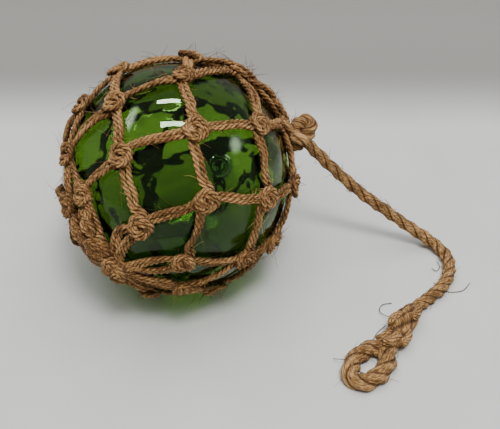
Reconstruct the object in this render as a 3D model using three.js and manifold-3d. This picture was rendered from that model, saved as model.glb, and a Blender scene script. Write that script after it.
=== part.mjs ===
// A glass float ball in a knotted rope net, lying on a table.
// The net is gathered at its head by the upper eye of a hanging rope, which comes down to the
// table and ends there in a second spliced eye.
// Millimetres, +Z up. The table is z = 0, and the origin is under the middle of the netted ball.
import * as THREE from 'three';
import { ConvexGeometry } from 'three/addons/geometries/ConvexGeometry.js';
import { mergeVertices } from 'three/addons/utils/BufferGeometryUtils.js';
import Module from 'manifold-3d';

const wasm = await Module();
wasm.setup();

// The ball
const BALL_RADIUS = 76;
const BALL_HEIGHT = 79.4; // centre above the table, held up by the knots under it
const SEAL_RADIUS = 7; // the blob of glass that closed the blowing hole
const SEAL_RISE = 1.4;
const SEAL_PLACE = [98, 17]; // polar angle from the net's head, and angle round it

// The net's own directions, in degrees
const HEADING = 60; // way that the head points, from +X round to +Y
const RISE = 17; // of the head's axis above the table
const TURN = 26; // from straight up to the first column of knots

// The net
const CORD_RADIUS = 3.3;
const CORD_ORBIT = BALL_RADIUS + CORD_RADIUS + 0.9; // middle of a cord that lies on the glass
const KNOT_INSET = 7; // a cord ends this far from the middle of its knot
const LOOP_INSET = 9; // and a loop this far from the middle of the gathered head or foot
const COLUMNS = 8;
const ROW_POLAR = [36, 68, 92, 116, 140]; // rows of knots, from the head to the foot
const KNOT_BULGES = [ // corners between the cords: from the knot's middle, and above the glass
  [9.3, 1.2],
  [9.3, 7],
  [5.5, 10.4],
];
const HEAD_PLACE = [42.5, 67]; // where the head is gathered, pulled over by the hanging rope
const FOOT_PLACE = [171, 2];
const HEAD_LOOP = { bow: 4, lift: 9 }; // sideways bow of each strand, and rise off the glass
const FOOT_LOOP = { bow: 6, lift: 2 };
const LOOP_START = 4; // a loop starts this far from the middle of its knot

// Under the ball the net hangs slack, so that the lowest point is in the middle of one mesh
const SAG_MIDDLE = 150;
const SAG_HALF_WIDTH = 60;
const SAG_POLAR = 15;
const SAG_TURN = -4;

// Knots that don't sit quite evenly: row, column, degrees towards the foot, degrees round
const UNEVEN_KNOTS = [
  [0, 0, -5, -2],
  [0, 1, 8, 6],
  [0, 2, 10, 0],
  [0, 3, 8, -8],
  [0, 4, 6, -11],
  [0, 5, -6, -10],
  [0, 6, -2, 10],
  [0, 7, 5, 5],
  [1, 1, 3, -2],
  [1, 6, 2, 3],
  [1, 7, 0, 1],
  [2, 0, 0, -1],
  [2, 1, 1, 1],
  [2, 2, 6, -13],
  [2, 6, 3, 22],
  [2, 7, 3, 3],
  [3, 0, -2, -1],
  [3, 5, -6, -9],
  [3, 6, 4, 2],
  [3, 7, 1, -3],
  [4, 0, 1, 2],
  [4, 1, 1, -1],
  [4, 2, 6, -9],
  [4, 6, 3, 18],
  [4, 7, -2, -3],
];

// Lumps where loops are knotted up: polar angle, angle round, half size, height
const GATHERED_LUMPS = [
  [151, -55, 8, 10],
  [165, -50, 9, 11],
  [152, -108, 8, 9],
  [171, 2, 13, 13],
];

// The hanging rope
const ROPE_RADIUS = 4.75;
const HEAD_EYE = { long: 10, wide: 6.5, lean: 50, distance: 90.5 }; // of its middle line
const HEAD_EYE_FACING = [0.1, -0.76, 0.64];
const HEAD_TAIL = { behind: 2, before: 5, straight: 7 }; // how the rope comes out through its eye
const LOWER_EYE = { long: 15.5, wide: 10.5, x: 127, y: -101.5, heading: 50 };
const LOWER_EYE_RADIUS = 5.2; // the rope opens out a little where it is bent round
const SPLICE_RADIUS = 7.5;
const EASE = 0.3; // gap between neighbouring pieces

// Facets
const BALL_SIDES = 28;
const SEAL_SIDES = 10;
const LUMP_SIDES = 8;
const CORD_SIDES = 5;
const CORD_STEP = 18; // degrees of arc for each straight stretch of cord
const ROPE_SIDES = 8;
const ROPE_STEPS = 26;
const HEAD_EYE_STEPS = 16;
const LOWER_EYE_STEPS = 20;
const TABLE_BLOCK = { side: 400, depth: 40 }; // what squashed rope is cut off flat by

// Middle line of the rope from the head eye to the lower eye. x and y are from the ball's
// centre, and z is from the table.
const ROPE_ROUTE = [
  [95, 17, 86],
  [98.5, 17, 81.8],
  [105, 17, 74],
  [112, 17, 66.2],
  [121, 17, 56.8],
  [131.2, 16.5, 47],
  [141.7, 16, 38],
  [152.3, 15.5, 29],
  [162.9, 15, 20.4],
  [172.5, 14, 13.4],
  [180.5, 11.5, 8.3],
  [187, 7.5, 5.4],
  [191.5, 1, 4.8],
  [193.6, -6.5, 4.8],
  [193, -15.5, 4.8],
  [190, -24.5, 4.8],
  [184.8, -32.8, 4.8],
  [178, -40, 4.8],
  [170, -47, 4.8],
  [162.5, -53.8, 4.8],
];

const radians = THREE.MathUtils.degToRad;
const axis = new THREE.Vector3(
  Math.cos(radians(RISE)) * Math.cos(radians(HEADING)),
  Math.cos(radians(RISE)) * Math.sin(radians(HEADING)),
  Math.sin(radians(RISE)),
);
const upright = new THREE.Vector3(0, 0, 1).projectOnPlane(axis).normalize();

// Direction from the ball's centre: polar angle from the net's head, and angle round it
function direction(polar, round) {
  const across = upright.clone().applyAxisAngle(axis, radians(round + TURN));
  const along = axis.clone().multiplyScalar(Math.cos(radians(polar)));
  return along.addScaledVector(across, Math.sin(radians(polar)));
}

// Direction of one knot: its even place, the slack under the ball, and its own shift
function knotDirection(row, column) {
  let polar = ROW_POLAR[row];
  let round = (360 / COLUMNS) * (column + (row % 2) / 2);
  const fromSag = (round - SAG_MIDDLE) / SAG_HALF_WIDTH;
  const sag = row > 0 && Math.abs(fromSag) < 1 ? Math.cos((fromSag * Math.PI) / 2) : 0;
  polar += SAG_POLAR * sag;
  round += SAG_TURN * sag;
  for (const [unevenRow, unevenColumn, polarShift, turnShift] of UNEVEN_KNOTS) {
    if (unevenRow === row && unevenColumn === column) {
      polar += polarShift;
      round += turnShift;
    }
  }
  return direction(polar, round);
}

// A cord's middle line over the ball between two directions, less a stretch at each end. It
// bows sideways by a number of millimetres, and rises off the glass by another.
class CordOverBall extends THREE.Curve {
  constructor(from, to, { bow = 0, lift = 0, startInset = KNOT_INSET, endInset = KNOT_INSET } = {}) {
    super();
    this.from = from;
    this.to = to;
    this.bow = bow;
    this.lift = lift;
    this.angle = from.angleTo(to);
    this.start = startInset / (CORD_ORBIT * this.angle);
    this.end = 1 - endInset / (CORD_ORBIT * this.angle);
    this.sideways = new THREE.Vector3().crossVectors(from, to).normalize();
  }

  getPoint(t, target = new THREE.Vector3()) {
    const share = this.start + t * (this.end - this.start);
    target.copy(this.from).multiplyScalar(Math.sin((1 - share) * this.angle));
    target.addScaledVector(this.to, Math.sin(share * this.angle)).normalize();
    target.addScaledVector(this.sideways, (this.bow * Math.sin(Math.PI * share)) / CORD_ORBIT);
    return target.setLength(CORD_ORBIT + this.lift * share * share);
  }
}

// Closed tube with flat ends along a curve
function tube(curve, radius, sides, steps) {
  const section = new THREE.Shape();
  for (let side = 0; side < sides; side += 1) {
    const angle = (2 * Math.PI * side) / sides;
    const x = radius * Math.cos(angle);
    const y = radius * Math.sin(angle);
    if (side === 0) {
      section.moveTo(x, y);
    } else {
      section.lineTo(x, y);
    }
  }
  section.closePath();
  return new THREE.ExtrudeGeometry(section, {
    steps,
    bevelEnabled: false,
    extrudePath: curve,
  });
}

// Joining and cutting
function toSolid(geometry) {
  const bare = geometry.clone();
  bare.deleteAttribute('normal');
  bare.deleteAttribute('uv');
  const merged = mergeVertices(bare, 1e-3);
  const source = merged.getAttribute('position').array;
  const triVerts = new Uint32Array(merged.getIndex().array);
  return new wasm.Manifold(
    new wasm.Mesh({ numProp: 3, vertProperties: new Float32Array(source), triVerts }),
  );
}

function joinAll(solids) {
  return solids.reduce((whole, next) => whole.add(next));
}

function largestPiece(solid) {
  const pieces = solid.decompose();
  return pieces.reduce((best, next) => (next.volume() > best.volume() ? next : best));
}

function toGeometry(solid) {
  const mesh = solid.getMesh();
  const geometry = new THREE.BufferGeometry();
  geometry.setAttribute('position', new THREE.BufferAttribute(mesh.vertProperties, 3));
  geometry.setIndex(new THREE.BufferAttribute(mesh.triVerts, 1));
  geometry.computeVertexNormals();
  return geometry;
}

function makeMesh(name, geometry, color, roughness) {
  const material = new THREE.MeshStandardMaterial({ color, roughness, metalness: 0 });
  const mesh = new THREE.Mesh(geometry, material);
  mesh.name = name;
  return mesh;
}

// A block under the table's surface, which cuts the squashed knots off flat
function tableBlock() {
  const block = new THREE.BoxGeometry(TABLE_BLOCK.side, TABLE_BLOCK.side, TABLE_BLOCK.depth);
  block.translate(0, 0, -BALL_HEIGHT - TABLE_BLOCK.depth / 2);
  return toSolid(block);
}

// Flattened ball with its short way along Z
function domeGeometry(halfSize, halfHeight, sides) {
  const dome = new THREE.SphereGeometry(1, sides, sides / 2);
  dome.rotateX(Math.PI / 2);
  dome.scale(halfSize, halfSize, halfHeight);
  return dome;
}

// Shape with its Z turned to a direction, and moved that way to a height over the glass
function ontoBall(shape, outward, height) {
  shape.translate(0, 0, BALL_RADIUS + height);
  const turn = new THREE.Quaternion();
  turn.setFromUnitVectors(new THREE.Vector3(0, 0, 1), outward);
  return shape.applyQuaternion(turn);
}

// Rope lump of the given half size and height, pressed onto the ball
function gatheredLump(polar, round, halfSize, height) {
  const lump = domeGeometry(halfSize, height / 2, LUMP_SIDES);
  return toSolid(ontoBall(lump, direction(polar, round), EASE + height / 2));
}

function cordTube(curve) {
  const steps = Math.max(2, Math.round(THREE.MathUtils.radToDeg(curve.angle) / CORD_STEP));
  return tube(curve, CORD_RADIUS, CORD_SIDES, steps);
}

// Corners of the flat end of a cord, which has its middle at the point given
function endCorners(geometry, middle) {
  const position = geometry.getAttribute('position');
  const corners = [];
  for (let index = 0; index < position.count; index += 1) {
    const corner = new THREE.Vector3().fromBufferAttribute(position, index);
    if (corner.distanceTo(middle) < CORD_RADIUS + EASE) {
      corners.push(corner);
    }
  }
  return corners;
}

// A knot is the closed hull of its cords' flat ends and of its own bulges between them
function knotHull(outward, corners) {
  const round = new THREE.Vector3().crossVectors(axis, outward).normalize();
  const along = new THREE.Vector3().crossVectors(outward, round);
  const points = [...corners];
  for (const [halfSize, height] of KNOT_BULGES) {
    for (const side of [-1, 1]) {
      const middle = outward.clone().multiplyScalar(BALL_RADIUS + height);
      points.push(middle.clone().addScaledVector(round, halfSize * side));
      points.push(middle.clone().addScaledVector(along, halfSize * side));
    }
  }
  return toSolid(new ConvexGeometry(points));
}

// The rows of knots, with the cords of the meshes between them
function meshes(knots) {
  const corners = knots.map((row) => row.map(() => []));
  const solids = [];
  for (let row = 0; row + 1 < knots.length; row += 1) {
    for (let column = 0; column < COLUMNS; column += 1) {
      const before = (column + COLUMNS - 1) % COLUMNS;
      const after = (column + 1) % COLUMNS;
      for (const next of [column, row % 2 === 0 ? before : after]) {
        const curve = new CordOverBall(knots[row][column], knots[row + 1][next]);
        const cord = cordTube(curve);
        corners[row][column].push(...endCorners(cord, curve.getPoint(0)));
        corners[row + 1][next].push(...endCorners(cord, curve.getPoint(1)));
        solids.push(toSolid(cord));
      }
    }
  }
  knots.forEach((row, index) => row.forEach((outward, column) => {
    solids.push(knotHull(outward, corners[index][column]));
  }));
  return solids;
}

// Pairs of loops from the head row up to the rope's upper eye, and from the last row to the foot
function endLoops(knots) {
  const head = direction(...HEAD_PLACE);
  const foot = direction(...FOOT_PLACE);
  const loops = [];
  const addStrand = (from, to, loop, side) => {
    const options = { ...loop, bow: loop.bow * side, startInset: LOOP_START, endInset: LOOP_INSET };
    loops.push(toSolid(cordTube(new CordOverBall(from, to, options))));
  };
  for (let column = 0; column < COLUMNS; column += 1) {
    for (const side of [-1, 1]) {
      addStrand(knots[0][column], head, HEAD_LOOP, side);
      addStrand(knots.at(-1)[column], foot, FOOT_LOOP, side);
    }
  }
  return loops;
}

function glassBall() {
  const ball = toSolid(new THREE.SphereGeometry(BALL_RADIUS, BALL_SIDES, BALL_SIDES / 2));
  const blob = domeGeometry(SEAL_RADIUS, SEAL_RISE * 2, SEAL_SIDES);
  const seal = toSolid(ontoBall(blob, direction(...SEAL_PLACE), -SEAL_RISE));
  return makeMesh('glass_ball', toGeometry(ball.add(seal)), 0x3f6a1c, 0.08);
}

// Frame of the head eye: out of the ball, towards the tail, and along the eye's long way
function headEyeFrame() {
  const out = direction(...HEAD_PLACE);
  const front = new THREE.Vector3(...HEAD_EYE_FACING).projectOnPlane(out).normalize();
  const along = new THREE.Vector3().crossVectors(front, out);
  const middle = out.clone().multiplyScalar(HEAD_EYE.distance);
  return { out, front, along, middle };
}

function headRing(ropeRadius) {
  const { out, front, along, middle } = headEyeFrame();
  const ring = new THREE.TorusGeometry(HEAD_EYE.wide, ropeRadius, ROPE_SIDES, HEAD_EYE_STEPS);
  ring.scale(1, HEAD_EYE.long / HEAD_EYE.wide, 1);
  ring.rotateZ(radians(-HEAD_EYE.lean));
  const place = new THREE.Matrix4().makeBasis(out, along, front);
  place.setPosition(middle);
  return toSolid(ring.applyMatrix4(place));
}

function fromTable([x, y, z]) {
  return new THREE.Vector3(x, y, z - BALL_HEIGHT);
}

// The part of the rope that comes out through the head eye, up to where it hangs free
function headTail(ropeRadius) {
  const { front, middle } = headEyeFrame();
  const start = fromTable(ROPE_ROUTE[0]);
  const onward = fromTable(ROPE_ROUTE[1]).sub(start).normalize();
  const points = [
    middle.clone().addScaledVector(front, -HEAD_TAIL.behind),
    middle.clone().addScaledVector(front, HEAD_TAIL.before),
    start.clone().addScaledVector(onward, -HEAD_TAIL.straight),
    start.clone().addScaledVector(onward, -EASE),
  ];
  return toSolid(tube(new THREE.CatmullRomCurve3(points), ropeRadius, ROPE_SIDES, 6));
}

function headEye() {
  const geometry = toGeometry(largestPiece(headRing(ROPE_RADIUS).add(headTail(ROPE_RADIUS))));
  return makeMesh('head_eye', geometry, 0xa9784a, 0.95);
}

function ropeNet() {
  const knots = ROW_POLAR.map((polar, row) =>
    Array.from({ length: COLUMNS }, (unused, column) => knotDirection(row, column)),
  );
  const lumps = GATHERED_LUMPS.map((lump) => gatheredLump(...lump));
  const whole = joinAll([...meshes(knots), ...endLoops(knots), ...lumps]);
  const room = headRing(ROPE_RADIUS + EASE).add(headTail(ROPE_RADIUS + EASE));
  const geometry = toGeometry(largestPiece(whole.subtract(room).subtract(tableBlock())));
  return makeMesh('rope_net', geometry, 0xb07d4e, 0.95);
}

function hangingRope() {
  const curve = new THREE.CatmullRomCurve3(ROPE_ROUTE.map(fromTable), false, 'centripetal');
  return makeMesh('hanging_rope', tube(curve, ROPE_RADIUS, ROPE_SIDES, ROPE_STEPS), 0xa9784a, 0.95);
}

// The lower eye lies flat on the table, with its splice running up the rope
function lowerEye() {
  const up = new THREE.Vector3(0, 0, 1);
  const middle = fromTable([LOWER_EYE.x, LOWER_EYE.y, ROPE_RADIUS]);
  const ring = new THREE.TorusGeometry(LOWER_EYE.wide, LOWER_EYE_RADIUS, ROPE_SIDES, LOWER_EYE_STEPS);
  ring.scale(LOWER_EYE.long / LOWER_EYE.wide, 1, 1);
  ring.rotateZ(radians(LOWER_EYE.heading));
  ring.translate(...middle);
  const end = fromTable(ROPE_ROUTE.at(-1));
  const onward = end.clone().sub(fromTable(ROPE_ROUTE.at(-2))).normalize();
  const throat = new THREE.Vector3(LOWER_EYE.long + EASE, 0, 0);
  throat.applyAxisAngle(up, radians(LOWER_EYE.heading)).add(middle);
  const curve = new THREE.CatmullRomCurve3([
    end.clone().addScaledVector(onward, EASE),
    end.clone().addScaledVector(onward, SPLICE_RADIUS),
    throat,
  ]);
  const splice = tube(curve, SPLICE_RADIUS, ROPE_SIDES, 5);
  const whole = toSolid(ring).add(toSolid(splice)).subtract(tableBlock());
  return makeMesh('lower_eye', toGeometry(whole), 0xa9784a, 0.95);
}

// The ball, the net and the head eye stand over the origin, and the rope lies beside them
const standing = [glassBall(), ropeNet(), headEye()];
const lying = [hangingRope(), lowerEye()];
const object = new THREE.Group();
object.add(...standing);
const reach = new THREE.Box3().setFromObject(object);
object.add(...lying);
object.position.set(-(reach.min.x + reach.max.x) / 2, -(reach.min.y + reach.max.y) / 2, BALL_HEIGHT);

const floatBall = new THREE.Group();
floatBall.add(object);

export default floatBall;
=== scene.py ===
"""A green glass float ball in its knotted rope net, with the hanging rope and its spliced eye."""

import math
import random

import bmesh
import bpy
import numpy as np
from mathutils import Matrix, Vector


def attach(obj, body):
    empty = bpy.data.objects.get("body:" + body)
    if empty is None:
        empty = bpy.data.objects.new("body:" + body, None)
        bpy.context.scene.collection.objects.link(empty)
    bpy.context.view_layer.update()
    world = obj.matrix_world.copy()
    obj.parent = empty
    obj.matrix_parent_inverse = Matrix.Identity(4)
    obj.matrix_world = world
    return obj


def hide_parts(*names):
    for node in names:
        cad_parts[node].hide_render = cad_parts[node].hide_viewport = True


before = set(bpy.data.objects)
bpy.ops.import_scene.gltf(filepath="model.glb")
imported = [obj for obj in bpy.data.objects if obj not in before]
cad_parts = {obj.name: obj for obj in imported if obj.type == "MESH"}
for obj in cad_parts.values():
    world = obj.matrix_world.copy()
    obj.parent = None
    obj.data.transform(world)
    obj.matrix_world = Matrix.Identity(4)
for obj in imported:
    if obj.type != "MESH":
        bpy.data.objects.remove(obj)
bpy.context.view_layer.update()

bl_info = {
    "name": "Glass float ball",
    "version": (1, 0, 0),
    "blender": (4, 5, 0),
    "location": "View3D > Sidebar > Float ball",
    "description": "Builds a glass float ball in a rope net, its hanging rope and a plain stage",
    "category": "Add Mesh",
}

MM = 0.001
SEED = 7

# The ball and the net, in millimetres from the ball's centre, as the frame has them.
BALL_CENTRE = np.array([-7.1, -0.1, 79.4])
BALL_RADIUS = 76.0
SEAL_PLACE = (98, 17)
# The seal button's profile: share of its radius, and height above its foot.
SEAL_RINGS = (
    (0.97, 0.22),
    (0.88, 0.65),
    (0.77, 0.92),
    (0.66, 0.96),
    (0.58, 0.84),
    (0.5, 0.82),
    (0.4, 0.98),
    (0.25, 1.08),
    (0.1, 1.12),
)
# The net's axis towards its head, and the net's turn about it, in degrees.
HEADING = 60
RISE = 17
TURN = 26
# Knots in a row, and each row's angle from the head. Odd rows sit half a step round.
COLUMNS = 8
ROW_POLAR = (36, 68, 92, 116, 140)
HEAD_PLACE = (42.5, 67)
FOOT_PLACE = (171, 2)
# How far a foot loop's two strands bow out, by column and side, where the photo shows it.
FOOT_SPREADS = {(0, 1): -1.5, (0, -1): 10, (1, 1): 5.2, (1, -1): 5.2}
# The net hangs lower on one side: where, how wide, and how far it sags and turns.
SAG_MIDDLE = 150
SAG_HALF_WIDTH = 60
SAG_POLAR = 15
SAG_TURN = -4
# Knots that sit off their even place, by row and column: degrees from the head and round it.
UNEVEN_KNOTS = {
    (0, 0): (-5, -2),
    (0, 1): (8, 6),
    (0, 2): (10, 0),
    (0, 3): (8, -8),
    (0, 4): (6, -11),
    (0, 5): (-6, -10),
    (0, 6): (-2, 10),
    (0, 7): (5, 5),
    (1, 1): (3, -2),
    (1, 6): (2, 3),
    (1, 7): (0, 1),
    (2, 0): (0, -1),
    (2, 1): (1, 1),
    (2, 2): (6, -13),
    (2, 6): (3, 22),
    (2, 7): (3, 3),
    (3, 0): (-2, -1),
    (3, 5): (-6, -9),
    (3, 6): (4, 2),
    (3, 7): (1, -3),
    (4, 0): (1, 2),
    (4, 1): (1, -1),
    (4, 2): (6, -9),
    (4, 6): (3, 18),
    (4, 7): (-2, -3),
}

# The hanging rope: x and y from the ball's centre, z from the table.
ROPE_ROUTE = (
    (95, 17, 86),
    (98.5, 17, 81.8),
    (105, 17, 74),
    (112, 17, 66.2),
    (121, 17, 56.8),
    (131.2, 16.5, 47),
    (141.7, 16, 38),
    (152.3, 15.5, 29),
    (162.9, 15, 20.4),
    (172.5, 14, 13.4),
    (180.5, 11.5, 8.3),
    (187, 7.5, 5.4),
    (191.5, 1, 4.8),
    (193.6, -6.5, 4.8),
    (193, -15.5, 4.8),
    (190, -24.5, 4.8),
    (184.8, -32.8, 4.8),
    (178, -40, 4.8),
    (170, -47, 4.8),
    (162.5, -53.8, 4.8),
)
# The two eyes: half length, half width, place and rope radius in mm, and angles in degrees.
HEAD_EYE = {"long": 9.6, "wide": 4.7, "lean": 58, "distance": 90.5, "radius": 5.4}
HEAD_EYE_FACING = (0.1, -0.76, 0.64)
LOWER_EYE = {"long": 16.3, "wide": 9.7, "x": 127, "y": -101.5, "heading": 50}
EYE_RADIUS = 6.2
SPLICE = {"long": 43, "radius": 8.6, "lay": 84}
# Blunt strand ends on the splice: share of its length, degrees round it, and how far they lean.
SPLICE_ENDS = ((0.33, 60, 2), (0.62, 150, -2), (0.8, 20, 2), (0.97, 80, 3), (1.0, 140, 1))
# Long loose fibres that lie beside the rope, from the table.
LONG_FIBRES = (
    ((179, -29, 5), (188.2, -33.6, 1), (194.9, -34.2, 1), (200.7, -32.5, 1), (206, -27.3, 3)),
    ((181, -12, 2), (183.8, -13.9, 1), (187.3, -9.9, 1), (185.9, -4.9, 2)),
    ((133.4, -84, 4), (132.6, -76.8, 1), (136, -70.7, 1), (141.9, -66.3, 3)),
    ((146, -61, 4), (139.1, -53.8, 2), (141.3, -46.5, 1), (148.5, -44.6, 1)),
    ((112, -97, 5), (107, -96, 4), (104, -94, 2)),
)

# Knot shapes in the knot's own frame: across, towards the head, above the glass.
HOLDING_BIGHT = (
    (-2.8, -4.4, 2.1),
    (-4.2, -0.7, 3.4),
    (-3.8, 2.5, 5.0),
    (0, 3.6, 6.1),
    (3.8, 2.5, 5.0),
    (4.2, -0.7, 3.4),
    (2.8, -4.4, 2.1),
)
HELD_BIGHT = (
    (-2.4, 4.9, 2.1),
    (-2.3, 1.4, 2.5),
    (-3.3, -1.2, 3.9),
    (-3.3, -3.3, 5.4),
    (0, -4.2, 6.3),
    (3.3, -3.3, 5.4),
    (3.3, -1.2, 3.9),
    (2.3, 1.4, 2.5),
    (2.4, 4.9, 2.1),
)

# The camera: mm from the point under the ball, degrees down, focal length in picture widths.
CAMERA_PLACE = (49.3, -461.0, 473.8)
CAMERA_DOWN = 43
CAMERA_FOCUS = 896.9 / 500
CAMERA_SENSOR = 36
# The floor: its size in metres, and where and how far it rises behind the ball.
FLOOR_SIZE = 9
BEND_START = 0.15
BEND_LENGTH = 0.13
BEND_RISE = 0.045

# How finely cords are drawn: mm from step to step, and points round each strand.
STEP = 1.0
ROPE_STEP = 0.8
CORD_POINTS = 6
ROPE_POINTS = 26
# Mm from the pair's middle to each of the net's two cords, and mm of cord for each fibre.
PAIR_SPACING = 1.65
HAIR_SPACING = 4.0

# Colours as sRGB hex. Manila goes from the painted shade between its strands to its palest fibres.
NET_COLOURS = ("#180b02", "#4f3115", "#79532a", "#c49762")
ROPE_COLOURS = ("#2b1809", "#553819", "#7b5831", "#c69c67")
# The cloth's last colour is the painted shade where it rises behind the ball.
CLOTH_COLOURS = ("#c9cac7", "#cfd0cd", "#8a8985")
GLASS_SHADE = "#92a178"
GLASS_GREEN = "#8fb060"
SEAL_GREEN = "#658c57"


def linear(hex_colour):
    """The linear colour of an sRGB hex value."""
    parts = [int(hex_colour[i : i + 2], 16) / 255 for i in (1, 3, 5)]
    return [p / 12.92 if p <= 0.04045 else ((p + 0.055) / 1.055) ** 2.4 for p in parts] + [1]


def settings():
    """The sizes and colours that the panel shows."""
    return bpy.context.scene.float_ball


def deselect():
    """Nothing is selected and no piece is active."""
    if bpy.context.object and bpy.context.object.mode != "OBJECT":
        bpy.ops.object.mode_set(mode="OBJECT")
    bpy.ops.object.select_all(action="DESELECT")


def unit(vector):
    """The same direction at length 1, for one vector or a list of them."""
    vector = np.asarray(vector, float)
    return vector / np.linalg.norm(vector, axis=-1, keepdims=True)


def turned(vector, axis, degrees):
    """The vector turned round the axis."""
    angle = math.radians(degrees)
    vector, axis = np.asarray(vector, float), np.asarray(axis, float)
    return (
        vector * math.cos(angle)
        + np.cross(axis, vector) * math.sin(angle)
        + axis * np.dot(axis, vector) * (1 - math.cos(angle))
    )


def net_axis():
    """The net's own axis, from its foot to its head."""
    heading, rise = math.radians(HEADING), math.radians(RISE)
    return np.array(
        [
            math.cos(rise) * math.cos(heading),
            math.cos(rise) * math.sin(heading),
            math.sin(rise),
        ]
    )


NET_AXIS = net_axis()
NET_UPRIGHT = unit(np.array([0, 0, 1]) - NET_AXIS * NET_AXIS[2])


def direction(polar, around):
    """Direction from the ball's centre: degrees from the net's head, and degrees round it."""
    across = turned(NET_UPRIGHT, NET_AXIS, around + TURN)
    polar = math.radians(polar)
    return NET_AXIS * math.cos(polar) + across * math.sin(polar)


def knot_direction(row, column):
    """Where a knot of the net sits, as a direction from the ball's centre."""
    column %= COLUMNS
    polar = ROW_POLAR[row]
    around = 360 / COLUMNS * (column + (row % 2) / 2)
    from_sag = (around - SAG_MIDDLE) / SAG_HALF_WIDTH
    sag = math.cos(from_sag * math.pi / 2) if row > 0 and abs(from_sag) < 1 else 0
    more_polar, more_around = UNEVEN_KNOTS.get((row, column), (0, 0))
    return direction(polar + SAG_POLAR * sag + more_polar, around + SAG_TURN * sag + more_around)


def from_table(point):
    """A point with its height from the table, seen from the ball's centre."""
    return np.array([point[0], point[1], point[2] - BALL_CENTRE[2]])


# Routes and swept cords


def smooth_route(points, step, closed=False):
    """Evenly spaced points along a smooth curve through the given ones, and its values there."""
    points = np.asarray(points, float)
    count = len(points)
    if closed:
        padded = np.vstack([points[-1:], points, points[:2]])
        spans = count
    else:
        first, last = 2 * points[0] - points[1], 2 * points[-1] - points[-2]
        padded = np.vstack([first, points, last])
        spans = count - 1
    shares = np.linspace(0, 1, 12, endpoint=False)[:, None]
    parts = []
    for i in range(spans):
        p = padded[i : i + 4]
        gaps = np.sqrt(np.linalg.norm(np.diff(p[:, :3], axis=0), axis=1)) + 1e-6
        knots = np.concatenate([[0], np.cumsum(gaps)])
        t = knots[1] + shares * (knots[2] - knots[1])

        def between(a, b, low, high):
            return a * (knots[high] - t) / (knots[high] - knots[low]) + b * (t - knots[low]) / (
                knots[high] - knots[low]
            )

        a, b, c = between(p[0], p[1], 0, 1), between(p[1], p[2], 1, 2), between(p[2], p[3], 2, 3)
        parts.append(between(between(a, b, 0, 2), between(b, c, 1, 3), 1, 2))
    fine = np.vstack(parts + [padded[1:2] if closed else points[-1:]])
    along = np.concatenate([[0], np.cumsum(np.linalg.norm(np.diff(fine[:, :3], axis=0), axis=1))])
    steps = max(4, int(round(along[-1] / step)))
    places = np.linspace(0, along[-1], steps + 1)
    if closed:
        places = places[:-1]
    return np.stack([np.interp(places, along, fine[:, k]) for k in range(fine.shape[1])], 1)


def tangents_of(route, closed=False):
    """The way that a route goes, at each of its points."""
    if closed:
        return unit(np.roll(route, -1, 0) - np.roll(route, 1, 0))
    return unit(np.gradient(route, axis=0))


def steady_normals(route, first):
    """Normals that turn no more than the route does, from the first one on."""
    ways = tangents_of(route)
    normal = np.asarray(first, float)
    normals = []
    for way in ways:
        normal = unit(normal - way * np.dot(normal, way))
        normals.append(normal)
    return np.array(normals)


def soft_noise(count, steps, rng, closed=False):
    """Smooth random values, mostly from -1 to 1, that change over about that many steps."""
    knots = max(3, int(count / steps))
    values = np.array([rng.uniform(-1, 1) for _ in range(knots)])
    if closed:
        values = np.append(values, values[0])
    places = np.linspace(0, len(values) - 1, count + 1)[:count]
    low = np.minimum(places.astype(int), len(values) - 2)
    share = places - low
    share = share * share * (3 - 2 * share)
    return values[low] * (1 - share) + values[low + 1] * share


def strand_profile(strands, points, depth):
    """Share of the full radius round a laid cord: each strand is a lobe between two valleys."""
    angles = np.arange(strands * points) * 2 * math.pi / (strands * points)
    half = math.pi / strands
    off = np.abs((angles + half) % (2 * half) - half)
    size = math.sin(half) / (1 + math.sin(half))
    middle = 1 - size
    inside = np.maximum(size**2 - (middle * np.sin(off)) ** 2, 0)
    lobe = middle * np.cos(off) + np.sqrt(inside)
    # The third value returned is 1 on a strand's crown and 0 in its valleys; the material paints
    # shade where it is low.
    return angles, np.maximum(lobe, 1 - depth), np.clip(3.5 * (1 - off / half), 0, 1)


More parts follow.
